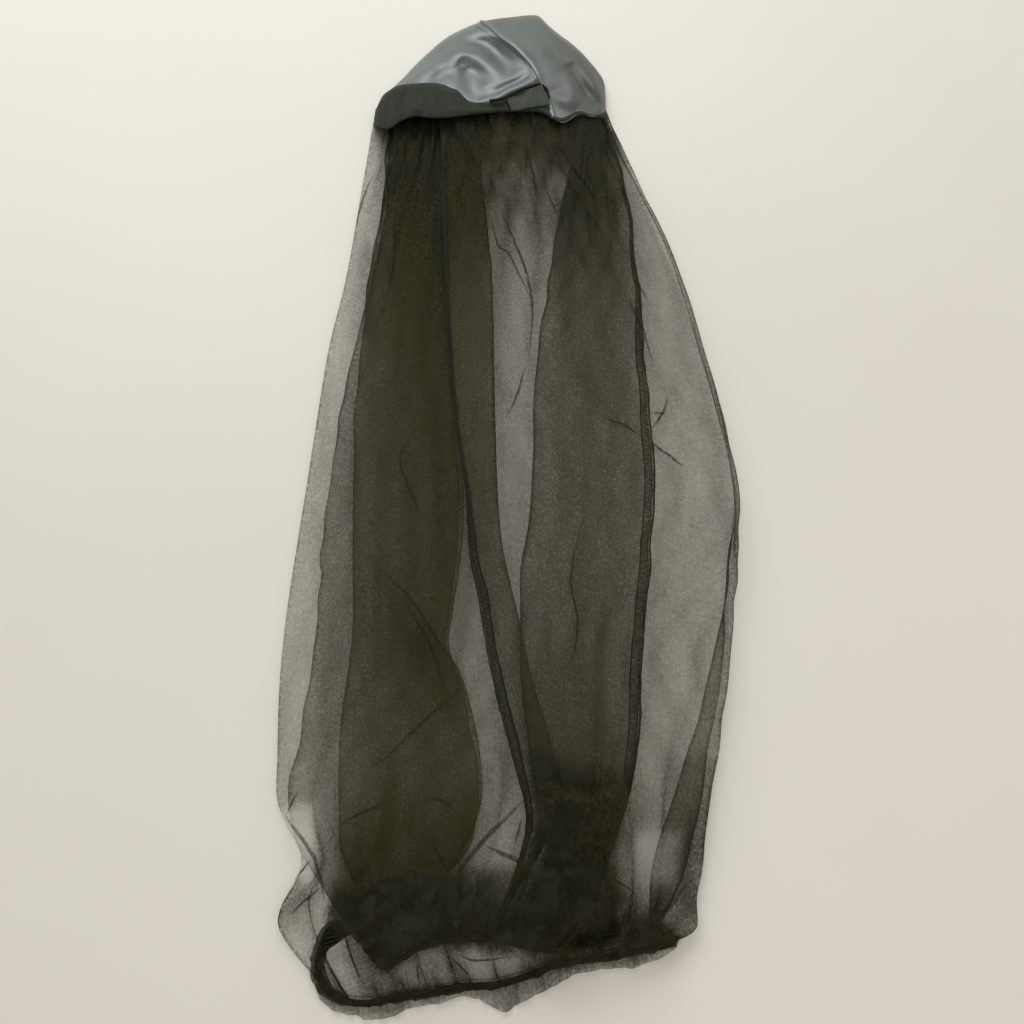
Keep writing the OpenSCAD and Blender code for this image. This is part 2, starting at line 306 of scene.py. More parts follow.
def netting(name, thick, thin):
    """See-through hexagonal net. cover says how much of a thread layer stands over each bit of floor."""
    n = Nodes(name)
    uv = n.add("UVMap", uv_map="cloth").outputs["UV"]
    split = n.add("SeparateXYZ", {"Vector": uv})
    x, y = split.outputs["X"], split.outputs["Y"]
    k = 2 * math.pi / CELL
    rows = n.math("COSINE", n.times(x, k))
    half_x, half_y = n.times(x, k / 2), n.times(y, k * math.sqrt(3) / 2)
    left = n.math("COSINE", n.plus(half_x, half_y))
    right = n.math("COSINE", n.math("SUBTRACT", half_x, half_y))
    holes = n.times(n.plus(n.plus(rows, left), right), 1 / 3)
    thread = n.math("SUBTRACT", 1.0, n.times(holes, 0.36))
    cover = n.add("Attribute", attribute_name="cover").outputs["Fac"]
    # pleats finer than the mesh: long streaks along the cloth, stronger where it is gathered
    pleats = n.add("Mapping", {"Vector": uv, "Scale": (0.17, 0.016, 1.0)}).outputs["Vector"]
    streaks = n.math("SUBTRACT", n.texture(pleats, 4.0, 0.65), 0.5)
    streak_depth = n.math("MINIMUM", n.math("MULTIPLY_ADD", cover, 1.5, 0.5), 3.0)
    streaks = n.math("MULTIPLY_ADD", streaks, streak_depth, 1.0)
    patches = n.math("MULTIPLY_ADD", n.noise((55, 38, 55), 4.0, 0.6), 0.4, 0.8)
    # the sparkle of one net seen through another
    sparkle = n.noise((620, 560, 620), 2.0, 0.7)
    patches = n.times(patches, n.math("MULTIPLY_ADD", sparkle, 3.0, -0.5))
    depth = n.times(n.times(cover, thread), n.times(streaks, patches))
    depth = n.math("MAXIMUM", depth, 0.02)
    alpha = n.math("SUBTRACT", 1.0, n.math("EXPONENT", n.times(depth, -1.0)))
    # painted shade: where the cloth is bunched its threads are coloured darker, standing in for the shade
    # they cast on each other; a single layer shows their olive
    crowded_shade = n.math("MULTIPLY_ADD", n.noise((30, 12, 30), 4.0), 0.6, n.plus(cover, 0.2))
    crowded_shade = n.math("MULTIPLY_ADD", sparkle, -3.0, n.plus(crowded_shade, 1.0))
    tone = n.ramp(crowded_shade, [(0.3, thin), (0.95, thick)])
    return n.surface(Base_Color=tone, Roughness=0.75, Alpha=alpha, Specular_IOR_Level=0.06,
                     Normal=n.bump(holes, 0.25, 0.0002))


def satin(name, dark, mid, light, roughness, gleam):
    """Filament cloth with a fine warp, a soft gloss and a little unevenness."""
    n = Nodes(name)
    weave = n.blend((n.threads(1400.0, 0.6, "X"), 0.6), (n.threads(1900.0, 0.8, "Y"), 0.4))
    cloud = n.noise((22, 22, 22), 4.0)
    slub = n.noise((260, 30, 260), 2.0)
    tone = n.blend((cloud, 0.6), (slub, 0.25), (weave, 0.15))
    colour = n.ramp(tone, [(0.3, dark), (0.5, mid), (0.7, light)])
    gloss = n.math("MULTIPLY_ADD", cloud, 0.14, roughness - 0.07)
    return n.surface(Base_Color=colour, Roughness=gloss, Specular_IOR_Level=gleam, Anisotropic=0.5,
                     Sheen_Weight=0.12, Sheen_Roughness=0.35, Normal=n.bump(weave, 0.18, 0.0002))


def woven(name, dark, light, ribs, roughness=0.8):
    """Plain matt cloth, tape or thread, with ribs across it."""
    n = Nodes(name)
    cloud = n.noise((110, 30, 60), 5.0, 0.6)
    fuzz = n.noise((900, 900, 900), 2.0, 0.6)
    tone = n.blend((cloud, 0.5), (n.threads(ribs, 1.0, "DIAGONAL"), 0.15), (fuzz, 0.35))
    colour = n.ramp(tone, [(0.36, dark), (0.64, light)])
    return n.surface(Base_Color=colour, Roughness=roughness, Specular_IOR_Level=0.2, Sheen_Weight=0.03,
                     Sheen_Roughness=0.5, Normal=n.bump(tone, 0.4, 0.0003))


# each net's first colour is the painted shade of bunched threads, the second the olive of a single layer
net_material = netting("netting", (0.0215, 0.0205, 0.0115), (0.045, 0.0425, 0.0125))
hem_material = netting("hem_netting", (0.020, 0.019, 0.011), (0.036, 0.034, 0.014))
# painted highlight: the crown cloth's green-grey is coloured lighter and bluer on the left gore, standing in
# for the window lamp's gloss on it
crown_left_highlit_material = satin("crown_satin_painted_highlight", (0.047, 0.061, 0.057), (0.067, 0.086, 0.081),
                            (0.092, 0.116, 0.113), 0.38, 1.0)
crown_right_material = satin("crown_dull", (0.058, 0.066, 0.055), (0.072, 0.082, 0.068),
                             (0.088, 0.098, 0.084), 0.50, 0.6)
# painted shade: the band is coloured as a darker copy of its own lapped end's cloth, standing in for the
# shade it lies in
band_shaded_material = woven("band_cloth", (0.012, 0.014, 0.009), (0.040, 0.045, 0.032), 900.0)
lap_material = woven("lap_cloth", (0.030, 0.036, 0.026), (0.066, 0.078, 0.058), 900.0)
seam_material = woven("seam_netting", (0.008, 0.008, 0.004), (0.018, 0.017, 0.010), 700.0)
thread_material = woven("thread", (0.014, 0.015, 0.009), (0.032, 0.033, 0.022), 2500.0, 0.6)
elastic_material = woven("elastic", (0.008, 0.008, 0.005), (0.020, 0.019, 0.013), 1300.0)

# ---------------------------------------------------------------- neck loop
# Middle line of the elastic: from the left end along the floor to the right, then back over the top.
LOOP = [(-89, -271, 9), (-94, -279, 6), (-95.5, -287, 4), (-93, -296, 3), (-84, -303, 2.6),
        (-72, -305, 2.5), (-56, -302.5, 2.5), (-40, -300.5, 2.5), (-24, -298, 2.5), (-8, -297, 2.5),
        (8, -293, 2.8), (24, -287.5, 3), (42, -285.5, 3), (60, -282.5, 3.4), (74, -279.5, 4.5),
        (80, -277.5, 6.5), (74, -276, 8.5), (60, -276, 10), (44, -278, 11), (28, -281, 12),
        (12, -280.5, 13), (-4, -277, 13.5), (-18, -276, 13.5), (-32, -277, 13), (-46, -280, 12),
        (-56, -286, 10), (-63, -289, 9), (-70, -282, 11), (-79, -273, 11.5)]
LOOP_LEFT, LOOP_RIGHT = 3, 15
loop_knots = np.array(LOOP + [LOOP[0]], float)
n_loop = 420


def closed_path(knots, count):
    """Evenly spaced points on a smooth closed curve, and the place of each knot along it, from 0 to 1."""
    wide = np.concatenate([knots[-4:-1], knots, knots[1:4]])
    run = distances(wide[:, :2])
    fine = np.linspace(run[3], run[3 + len(knots) - 1], 4000)
    curve = np.stack([spline(list(zip(run, wide[:, i])), fine) for i in range(3)], -1)
    length = distances(curve)
    even = np.linspace(0, length[-1], count, endpoint=False)
    knot_at = np.interp(run[3:3 + len(knots)], fine, length) / length[-1]
    return walk(curve, length, even), knot_at


ring_path, knot_at = closed_path(loop_knots, n_loop)
loop_real = laid(*ring_path.T)
arc = distances(loop_real)
round_neck = arc[-1] + np.linalg.norm(loop_real[0] - loop_real[-1])
print("neck loop is", round(round_neck, 1), "mm round")

# ---------------------------------------------------------------- netting
# the net's upper edge and its length down the floor; the distance round the uncut tube, and places round it
TOP_Y, LENGTH = 230.0, 520.0
ROUND = 966.0
SEAM_LEFT, SEAM_RIGHT = 412.0, 528.0
RIGHT_EDGE = 732.0
# how much thread one flat layer shows
THREAD = 0.325
# Fold lines of the laid tube, in order round it. flat is the place across the uncut cloth, level the height
# in the stack, ring the (x, y, z) that it heads for at the neck, and line its (y, x) from crown to neck.
# Where the cloth turns round an edge, rounding moves the line outward by what the smoothing takes off.
Fold = namedtuple("Fold", "name flat level ring line rounding", defaults=[0.0])
# two side folds keep beside the right edge above y -53, and the folds e1 and e2 run side by side
RIGHT_SIDE = [(230, 61), (196, 71), (165, 83), (127, 97), (91, 107), (49, 115), (16, 122), (-16, 127),
              (-53, 129)]
INNER = [(3, -32), (-47, -28), (-81, -29), (-110, -32), (-136, -33), (-148, -26), (-172, -20), (-190, -16),
         (-221, -17)]
FOLDS = [
    Fold("left_edge", 0, 0.10, (-101, -291, 5), [(230, -90), (157, -97), (91, -104), (56, -110), (3, -115),
         (-35, -118), (-71, -121), (-111, -124), (-149, -125), (-191, -123), (-213, -121), (-223, -116),
         (-239, -106), (-249, -108), (-261, -115), (-273, -116)], -2.5),
    Fold("e1", 84, 0.22, (-30, -274, 10), [(230, -46), (204, -44), (84, -38)] + INNER + [(-245, -24)]),
    Fold("a1", 160, 0.30, (-88, -266, 10), [(230, -84), (173, -84), (90, -92), (62, -95), (24, -102),
         (-22, -106), (-59, -109), (-131, -110), (-172, -114), (-217, -117), (-245, -104)]),
    Fold("e2", 234, 0.42, (-44, -275, 11), [(230, -44), (204, -43), (84, -37)]
         + [(y, x + 2) for y, x in INNER] + [(-245, -30)]),
    Fold("a2", 302, 0.50, (-84, -268, 12), [(230, -79), (188, -79), (98, -89), (56, -94), (16, -95),
         (-35, -94), (-77, -92), (-131, -90), (-163, -93), (-198, -93), (-241, -90)]),
    Fold("b2", 388, 0.66, (-6, -274, 13), [(230, -20), (173, -17), (135, -13), (98, -10), (56, -9),
         (-3, -8), (-41, -7), (-77, -4), (-112, 4), (-149, 12), (-191, 24), (-226, 22), (-245, 10)]),
    Fold("seam_left", SEAM_LEFT, 0.74, (-18, -275, 13),
         [(230, -50), (204, -49), (84, -43), (3, -36), (-47, -28),
         (-81, -25), (-102, -20), (-135, -14), (-163, -7), (-181, -2), (-200, 3), (-215, 7), (-245, 2)]),
    Fold("middle", 470, 0.84, (12, -278, 13), [(230, 12), (160, 20), (60, 25), (-50, 30), (-110, 32),
         (-150, 34), (-200, 36), (-245, 28)]),
    Fold("seam_right", SEAM_RIGHT, 0.84, (44, -279, 12),
         [(230, 56), (205, 66), (163, 76), (109, 79), (78, 81),
         (29, 81), (1, 83), (-35, 83), (-78, 79), (-116, 74), (-146, 70), (-172, 68), (-207, 62),
         (-224, 56), (-240, 50)]),
    Fold("a3", 600, 0.94, (22, -280, 13), [(230, 47), (196, 41), (174, 36), (142, 29), (98, 21), (56, 15),
         (-3, 10), (-50, 8), (-77, 4), (-112, 2), (-154, 3), (-191, 8), (-211, 14), (-245, 20)]),
    Fold("b4", 690, 0.60, (76, -275, 8), [(y, x - 1) for y, x in RIGHT_SIDE] + [(-82, 123), (-110, 119),
         (-131, 117), (-186, 106), (-216, 99), (-246, 90)]),
    Fold("a4", 704, 0.52, (58, -278, 9), [(y, x - 2) for y, x in RIGHT_SIDE] + [(-82, 121), (-110, 116),
         (-154, 103), (-198, 86), (-232, 72), (-252, 66)]),
    Fold("right_edge", RIGHT_EDGE, 0.10, (80, -277, 5), RIGHT_SIDE + [(-82, 126), (-117, 121), (-160, 114),
         (-201, 105), (-235, 98), (-259, 93), (-272, 92)], 2.0),
    Fold("under_right", 792, 0.0, (40, -283, 2), [(230, 20), (150, 30), (60, 48), (-50, 64), (-150, 55),
         (-230, 44), (-262, 44)]),
    Fold("under_middle", 850, 0.0, (-14, -293, 1.5), [(230, -18), (150, -12), (60, -8), (-50, -4),
         (-150, -10), (-230, -14), (-268, -14)]),
    Fold("under_left", 908, 0.0, (-66, -298, 1.5), [(230, -55), (150, -55), (60, -60), (-50, -64),
         (-150, -70), (-230, -66), (-275, -68)]),
]
columns = 840
rows = 132
u = np.interp(np.arange(columns) / columns, [0, 0.8, 1], [0, RIGHT_EDGE, ROUND])
t = np.linspace(0, 1, rows)
t = t - 0.055 * np.sin(2 * np.pi * t)
v = t * LENGTH
U, V = np.meshgrid(u, v)
T = V / LENGTH
# height of the pile from crown to neck
PILE = [(0, 19), (0.06, 23), (0.2, 28), (0.45, 31), (0.7, 30), (0.85, 27), (0.93, 22), (1, 14)]


def fold_line(fold):
    """x, y and height of a fold line at every row."""
    ring_x, ring_y, ring_z = fold.ring
    body = [((TOP_Y - y) / LENGTH, x, y) for y, x in fold.line]
    # a line that ends past the elastic is drawn in, to leave room for the way to its ring point
    tail = body[-1][0]
    if tail > 0.975:
        body = [(s if s < 0.9 else 0.9 + (s - 0.9) * 0.075 / (tail - 0.9), x, y) for s, x, y in body]
    x = spline([(s, a) for s, a, b in body] + [(1.0, ring_x)], t) + fold.rounding
    y = spline([(s, b) for s, a, b in body] + [(1.0, ring_y)], t)
    z = 1.2 + fold.level * spline(PILE, t)
    return x, y, z + (ring_z - z) * step(t, 0.86, 1.0)


# how far a panel bulges up between its fold and the next
BULGE = {"a3": 5, "seam_left": 1.5, "middle": 1.5, "a2": 1.5, "left_edge": 2}
lines = [fold_line(f) for f in FOLDS]
knots = [f.flat for f in FOLDS]
X, Y, Z = (np.empty((rows, columns)) for _ in range(3))
for k in range(len(FOLDS)):
    a, b = lines[k], lines[(k + 1) % len(FOLDS)]
    start, end = knots[k], knots[k + 1] if k + 1 < len(FOLDS) else ROUND
    on = (u >= start) & (u < end)
    w = ((u[on] - start) / (end - start))[None]
    for field, first, last in zip((X, Y, Z), a, b):
        field[:, on] = first[:, None] * (1 - w) + last[:, None] * w
    billow = (np.sin(np.pi * np.clip(t, 0, 1)) ** 0.5)[:, None]
    Z[:, on] += np.sin(np.pi * w) * BULGE.get(FOLDS[k].name, 0) * billow
for field in (X, Y, Z):
    field[:] = blur(field, 2.2, 1, wrap=True)
    field[:] = blur(field, 1.0, 0)

# the sewn edge runs once round the elastic: the upper cloth over its top run, the under cloth along the floor
left_at, right_at = knot_at[LOOP_LEFT], knot_at[LOOP_RIGHT]
over = left_at + 1 + (right_at - left_at - 1) * u / RIGHT_EDGE
below = right_at + (left_at - right_at) * (u - RIGHT_EDGE) / (ROUND - RIGHT_EDGE)
place = np.where(u < RIGHT_EDGE, over, below)
sewn = ring_path[np.round(place * n_loop).astype(int) % n_loop]
edges_late = np.exp(-(np.minimum(U, ROUND - U) / 34) ** 2) + np.exp(-((U - RIGHT_EDGE) / 30) ** 2)
turn = step(T, 0.885 + 0.075 * edges_late, 1.0)
for field, at in zip((X, Y, Z), sewn.T):
    field[:] = field * (1 - turn) + at * turn


def inside(corners, soft, x=None, y=None):
    """1 inside a convex outline given clockwise, 0 outside it, with a soft edge."""
    x, y = (X, Y) if x is None else (x, y)
    p = np.array(corners, float)
    depth = np.full(x.shape, 1e3)
    for a, b in zip(p, np.roll(p, -1, 0)):
        along_edge = (b - a) / np.linalg.norm(b - a)
        depth = np.minimum(depth, (x - a[0]) * along_edge[1] - (y - a[1]) * along_edge[0])
    return step(depth, -soft, soft)


# where the cloth is bunched: near the crown, near the elastic, and in the heaps on either side of the neck
upper = (U < RIGHT_EDGE - 6) & (U > 6)
under_cloth = U > RIGHT_EDGE
margin = 1 - step(U, 20, 70) + step(U, 890, 925)
heap_left = inside([(-92, -268), (-88, -251), (-60, -248), (-28, -242), (-15, -252), (-26, -279),
                    (-60, -289)], 6)
heap_middle = inside([(-36, -262), (-14, -262), (16, -258), (20, -280), (-14, -281), (-38, -279)], 4.5)
heap_right = inside([(12, -190), (60, -200), (52, -240), (20, -242)], 7)
heap_right += inside([(20, -236), (50, -236), (62, -260), (58, -272), (14, -282), (-6, -272), (0, -254)], 6)
tuck = inside([(49, -281), (66, -265), (76, -270), (84, -280), (60, -287)], 3)
heaps = np.minimum(heap_left + heap_middle + heap_right + tuck, 1.0) * upper
middle = step(X, -95, -80)
bunched = 1 + 1.7 * np.exp(-(T / 0.15) ** 2) * middle * (1 - step(X, 62, 80))
bunched += 1.3 * np.exp(-((1 - T) / 0.11) ** 2) * middle * (1 - 0.7 * step(X, 58, 70))
bunched += np.minimum(2.6 * heap_left + 2.2 * heap_middle + 1.5 * heap_right + 2.0 * tuck, 3.0) * upper
wedge = inside([(-82, -78), (-24, -149), (-33, -172), (-50, -150)], 3)
bunched += 0.5 * wedge * (upper & (U > 160) & (U < 400))
# Small areas where the net is made thinner or thicker than its folds make it, as painted light and shade:
# outline, softness of its border, change.
LIGHT_AND_SHADE_AREAS = [
    ([(-19, -232), (4, -208), (16, -212), (14, -232), (2, -243), (-15, -243)], 5, -0.3),
    ([(-125, -262), (-120, -232), (-102, -236), (-95, -262), (-100, -290), (-115, -290)], 4, 0.5),
    ([(-122, -216), (-103, -212), (-99, -255), (-116, -244)], 3, -0.75),
    ([(62, -226), (88, -226), (84, -252), (66, -252)], 5, -0.6),
    ([(90, -190), (114, -190), (102, -268), (86, -262)], 4, 0.3),
    ([(-96, 125), (-82, 125), (-86, 60), (-100, 60)], 5, 0.4),
    ([(-94, -276), (-70, -276), (-60, -300), (-92, -304)], 4, 0.6),
    ([(-22, -277), (22, -281), (12, -297), (-22, -299)], 4, -0.45),
]
for corners, soft, change in LIGHT_AND_SHADE_AREAS:
    bunched *= 1 + change * inside(corners, soft)
ragged = 0.25 * noise(X / 9, Y / 9, 50) + 0.15 * noise(X / 4, Y / 6, 51)
bunched *= 1 + ragged * np.clip(bunched - 1, 0, 1)
# painted light: the net along the open left margin, upper and under cloth, is made thinner and so lighter,
# standing in for the light that reaches the floor under its edge
bunched *= 1 - 0.28 * (1 - step(U, 12, 60)) * (U < 400) - 0.28 * step(U, 900, 930)
bunched *= 1 - 0.14 * np.exp(-((T - 0.33) / 0.12) ** 2) * margin
# strips along the cloth that lie more open or more crowded than the rest
bunched *= 1 - 0.65 * between(U, 684, 690, 704, 710) * (1 - step(T, 0.50, 0.60))
tuck_side = between(U, 672, 690, 724, 734)
bunched *= 1 + tuck_side * (0.8 * step(T, 0.84, 0.9) - 0.3 * between(T, 0.58, 0.64, 0.76, 0.84))
bunched *= 1 + 0.35 * between(U, 528, 545, 620, 650)
bunched *= 1 + 0.9 * between(U, 330, 350, 396, 408) * (1 - 0.6 * step(T, 0.5, 0.7))
bunched *= 1 - 0.42 * (between(U, 640, 700, 745, 790) + margin) * np.exp(-(T / 0.26) ** 2)
# the under cloth at the neck
under_neck = step(T, 0.90, 0.985) * under_cloth * (0.4 + 1.3 * step(U, 900, 940))
bunched *= 1 + 0.3 * under_neck - 0.45 * step(T, 0.95, 0.99) * under_cloth

# gathers: fine at the sewn ends, running into longer folds away from them
spread = blur(np.abs(np.gradient(X, axis=1)) / np.gradient(u)[None], 6, 1, wrap=True)
on_floor = step(np.abs(((U - 850 + ROUND / 2) % ROUND) - ROUND / 2), 66, 112)
whole = step(np.minimum(U, ROUND - U), 0, 9)
# width, height, reach from the crown, reach from the neck, share of the height on the floor, seed
GATHERS = [(8.0, 1.0, 0.11, 0.10, 0.5, 1), (13, 1.5, 0.18, 0.14, 0.5, 2), (22, 1.6, 0.28, 0.18, 0.45, 3),
           (41, 1.8, 0.60, 0.36, 0.3, 4)]
for wave, high, crown_reach, neck_reach, floor_part, seed in GATHERS:
    reach = np.exp(-(T / crown_reach) ** 1.6) + np.exp(-((1 - T) / neck_reach) ** 1.6)
    wander = 0.9 * noise(U / (wave * 3.1), V / 90 + 7, seed)
    wander += 1.6 * noise(U / (wave * 9), V / 260, seed + 20)
    uneven = 0.65 + 0.55 * noise(U / (wave * 2.2), V / 150, seed + 40)
    reach = np.minimum(reach + 0.5 * heaps, 1.0) * whole
    height = high * reach * uneven * (floor_part + (1 - floor_part) * on_floor)
    phase = 2 * np.pi * (U / wave + wander)
    Z += height * (np.sin(phase) + np.where(on_floor < 0.5, 1.0, 0.2))
    crowding = 0.5 * reach ** 1.5 * uneven * spread * wave / (4 * np.pi)
    X += 0.35 * height * np.cos(phase) - crowding * np.sin(2 * phase)
# heaped cloth stands up and tumbles
Z += heaps * (2.0 + 2.4 * noise(X / 13, Y / 10, 52) + 1.5 * noise(X / 6, Y / 7, 53)) * on_floor * (1 - turn)
# loose wrinkles of the open net
loose = (0.25 + 0.75 * on_floor) * whole
Z += (noise(U / 46, V / 120, 60) * 1.4 + noise(U / 24 + V / 95, V / 60, 61) * 0.9) * loose
# the crown closes down over the net
CROWN_LEFT, CROWN_RIGHT, CROWN_RIM = -91.0, 62.5, 26.0


def crown_arch(x):
    """How high the crown stands across its width, from 0 at its ends to 1."""
    r = np.clip(np.minimum(x - CROWN_LEFT, CROWN_RIGHT - x) / CROWN_RIM, 0, 1)
    return np.sqrt(1 - (1 - r) ** 2)


ceiling = 2.2 + 18.0 * crown_arch(X)
tucked = 1 - step(T, 0.035, 0.13)
Z = np.where(Z > ceiling, Z * (1 - tucked) + ceiling * tucked, Z)
Z = np.maximum(Z, 0.4)

real = laid(X, Y, Z)
# how much cloth stands over each bit of floor
apart = (np.roll(u, -1) - np.roll(u, 1)) % ROUND
by_u = (np.roll(real, -1, 1) - np.roll(real, 1, 1)) / apart[None, :, None]
by_v = np.gradient(real, v, axis=0)
flatness = np.abs(by_u[..., 0] * by_v[..., 1] - by_u[..., 1] * by_v[..., 0])
flatness = blur(blur(flatness, 1.0, 1, wrap=True), 0.7, 0)
cover = np.minimum(1 / np.maximum(flatness, 0.14), 6.0)
cover = THREAD * bunched * blur(cover, 0.8, 1, wrap=True)


def panel(name, first, last, replaces):
    """The columns from one seam to the other, as a piece."""
    first, last = (int(np.abs(u - at).argmin()) for at in (first, last))
    pick = np.arange(first, last + 1 if last > first else last + columns + 1)
    wrapped = pick % columns
    flat_u = u[wrapped] + ROUND * (pick >= columns)
    return grid_piece(name, real[:, wrapped], net_material, "netting", replaces,
                      uv=pairs(flat_u[None], v[:, None]), cover=cover[:, wrapped])


front = panel("front_netting", SEAM_LEFT, SEAM_RIGHT, ["net_panel_front"])
back = panel("wrap_netting", SEAM_RIGHT, SEAM_LEFT, ["net_panel_back"])


# ---------------------------------------------------------------- creases
# Pinched folds of the net, as (x, y) of their middle line, and their width.
CREASES = [
    ([(-9, 156), (-5, 144), (0, 130), (5, 117), (9, 103), (12, 86), (12, 62), (10, 46)], 0.9),
    ([(-13, 145), (-11, 132), (-8, 122), (-2, 117), (2, 108), (7, 96), (11, 86)], 0.8),
    ([(8, 38), (5, 26), (1, 14), (-4, 4)], 0.8),
    ([(9, 204), (12, 186), (15, 170), (17, 156)], 1.0),
    ([(22, 168), (26, 154), (30, 144)], 0.7),
    ([(30, 205), (38, 186), (46, 174), (58, 150)], 1.1),
    ([(72, 88), (76, 74), (80, 63), (85, 41)], 0.9),
    ([(74, 104), (78, 96), (84, 84)], 0.7),
    ([(82, -3), (86, 2), (90, 9), (93, 18)], 0.9),
    ([(83, 8), (92, 7)], 0.7),
    ([(81, -10), (86, -15), (91, -19), (100, -27)], 0.9),
    ([(52, 6), (58, 3), (64, 1), (75, -7)], 0.8),
    ([(-79, -82), (-66, -95), (-56, -105), (-39, -130), (-24, -150)], 0.8),
    ([(-24, -150), (-34, -160), (-44, -168), (-58, -182), (-74, -196)], 0.9),
    ([(-60, -104), (-52, -118), (-45, -130), (-35, -158)], 0.7),
    ([(-89, -223), (-79, -218), (-70, -214), (-61, -210)], 0.9),
    ([(-46, -211), (-41, -210), (-33, -213), (-28, -218)], 0.9),
    ([(-41, -229), (-38, -236), (-35, -241), (-31, -247)], 0.8),
    ([(7, -210), (-2, -219), (-11, -227), (-20, -237), (-27, -246), (-33, -256)], 1.3),
    ([(5, -219), (3, -228), (1, -233)], 0.7),
    ([(6, -212), (9, -220), (11, -226)], 0.9),
    ([(17, -216), (15, -222), (12, -229), (6, -238)], 0.9),
    ([(-14, -233), (-7, -236), (0, -239), (5, -241), (13, -240)], 1.3),
    ([(7, -242), (3, -249), (-3, -257)], 0.8),
    ([(-8, -243), (-13, -252), (-19, -261)], 0.9),
    ([(45, -247), (50, -249), (55, -251), (62, -256)], 0.8),
    ([(-111, -206), (-114, -213), (-116, -218)], 0.7),
    ([(-118, -217), (-109, -228), (-102, -237), (-97, -247), (-94, -259)], 1.1),
    ([(-96, -252), (-101, -257), (-105, -260), (-111, -266)], 0.8),
    ([(-102, -239), (-106, -245), (-110, -250)], 0.7),
    ([(92, -248), (86, -254), (80, -261), (70, -273)], 1.0),
    ([(46, -225), (49, -215), (53, -206)], 0.7),
    ([(-47, -288), (-46, -292), (-45, -297)], 0.6),
    ([(-31, -284), (-26, -288), (-19, -295)], 0.6),
    ([(-27, -283), (-20, -286), (-12, -286), (-3, -285)], 0.6),
    ([(68, -273), (74, -276), (80, -282)], 0.9),
    ([(-72, 176), (-75, 150), (-74, 118), (-80, 70)], 0.8),
    ([(-44, 172), (-46, 130), (-43, 96), (-37, 64)], 0.8),
    ([(22, 200), (33, 180), (48, 150), (62, 122)], 0.8),
    ([(-90, 178), (-96, 158), (-100, 132)], 0.7),
    ([(40, -60), (33, -92), (36, -120), (30, -150)], 0.7),
    ([(-50, -59), (-60, -38), (-65, -22), (-58, -2)], 0.7),
]
# a map of the net's height, in bins from the lower left corner
BIN, BIN_LEFT, BIN_LOW = 6.0, -150, -340


def bins(x, y, shift=0.0):
    """Place in the map's bins."""
    return (x - BIN_LEFT) / BIN - shift, (y - BIN_LOW) / BIN - shift


def bin_index(x, y):
    return tuple(place.astype(int) for place in bins(x, y))


heights = np.zeros((60, 120))
np.maximum.at(heights, bin_index(X, Y), Z)


def pleat(points, width):
    """A pinched fold standing on the net, tapering to nothing at both ends."""
    length = np.hypot(*np.diff(points, axis=0).T).sum()
    n = int(length / 1.5) + 4
    p = along(points, np.linspace(0, 1, n))
    p = p + 0.35 * np.stack([noise(np.arange(n) / 4, 0.3, 55), noise(np.arange(n) / 4, 5.3, 56)], -1)
    z = blur(heights[bin_index(*p.T)], 3.0, 0) + 0.2
    taper = np.sin(np.pi * np.linspace(0.03, 0.97, n)) ** 0.6
    across = np.array([-1, -0.45, -0.15, 0.15, 0.45, 1]) * width
    rise = np.array([0, 0.55, 1, 1, 0.55, 0]) * width * 1.1
    section = np.stack([np.outer(taper, across), np.outer(taper, rise)], -1)
    path = laid(p[:, 0], p[:, 1], z)
    ahead = np.gradient(path, axis=0)
    ahead /= np.linalg.norm(ahead, axis=1, keepdims=True)
    side = np.stack([ahead[:, 1], -ahead[:, 0], 0 * ahead[:, 0]], -1)
    ribbon = path[:, None] + side[:, None] * section[..., :1] + np.array([0, 0, 1.0]) * section[..., 1:]
    uv = pairs(np.arange(n)[:, None] * 1.5, np.arange(6) * 0.8)
    return ribbon.reshape(-1, 3), grid_faces(n, 6).tolist(), uv, np.outer(taper, [0.3, 0.8, 1, 1, 0.8, 0.3])


pleats = [pleat(points, width) for points, width in CREASES]
points, faces = joined([(p[0], p[1]) for p in pleats])
creases = mesh_piece("net_creases", points, faces, net_material, "netting",
                     uv=np.concatenate([p[2] for p in pleats]),
                     cover=1.5 * np.concatenate([p[3].ravel() for p in pleats]))


# ---------------------------------------------------------------- heaps at the neck
# Cloth bunched over the elastic: outlines of the heaps, and how many layers' thread each one adds.
HEAPS = [
    ([(-91, -268), (-88, -253), (-57, -247), (-30, -245), (-20, -252), (-23, -279), (-49, -284),
      (-72, -281)], 2.4),
    ([(-76, -268), (-46, -268), (-50, -284), (-62, -293), (-70, -287)], 2.0),
    ([(-38, -264), (-20, -260), (0, -253), (14, -247), (24, -250), (20, -288), (-6, -281), (-38, -281)], 2.4),
    ([(-26, -245), (12, -241), (16, -252), (-18, -264)], 1.6),
    ([(14, -205), (60, -207), (54, -229), (49, -240), (18, -240)], 1.2),
    ([(8, -252), (20, -238), (49, -240), (58, -258), (46, -268), (24, -276)], 2.2),
    ([(12, -272), (30, -279), (58, -279), (62, -284), (16, -289)], 1.6),
    ([(49, -281), (66, -264), (74, -269), (78, -277), (60, -283)], 1.8),
]
hx, hy = np.meshgrid(np.arange(-100, 94, 1.3), np.arange(-300, -196, 1.3))
wx = hx + 2.4 * noise(hx / 11, hy / 9, 121) + 1.2 * noise(hx / 4, hy / 4, 122)
wy = hy + 2.4 * noise(hx / 10, hy / 11, 123) + 1.2 * noise(hx / 4, hy / 4, 124)
dense = np.max([amount * inside(corners, 4.5, wx, wy) for corners, amount in HEAPS], 0)
full = np.minimum(dense / 1.3, 1)
tall = np.max([np.roll(heights, (i, j), (0, 1)) for i in (-1, 0, 1) for j in (-1, 0, 1)], 0)
tall = blur(blur(tall, 0.9, 0), 0.9, 1)
place_x, place_y = bins(hx, hy, 0.5)
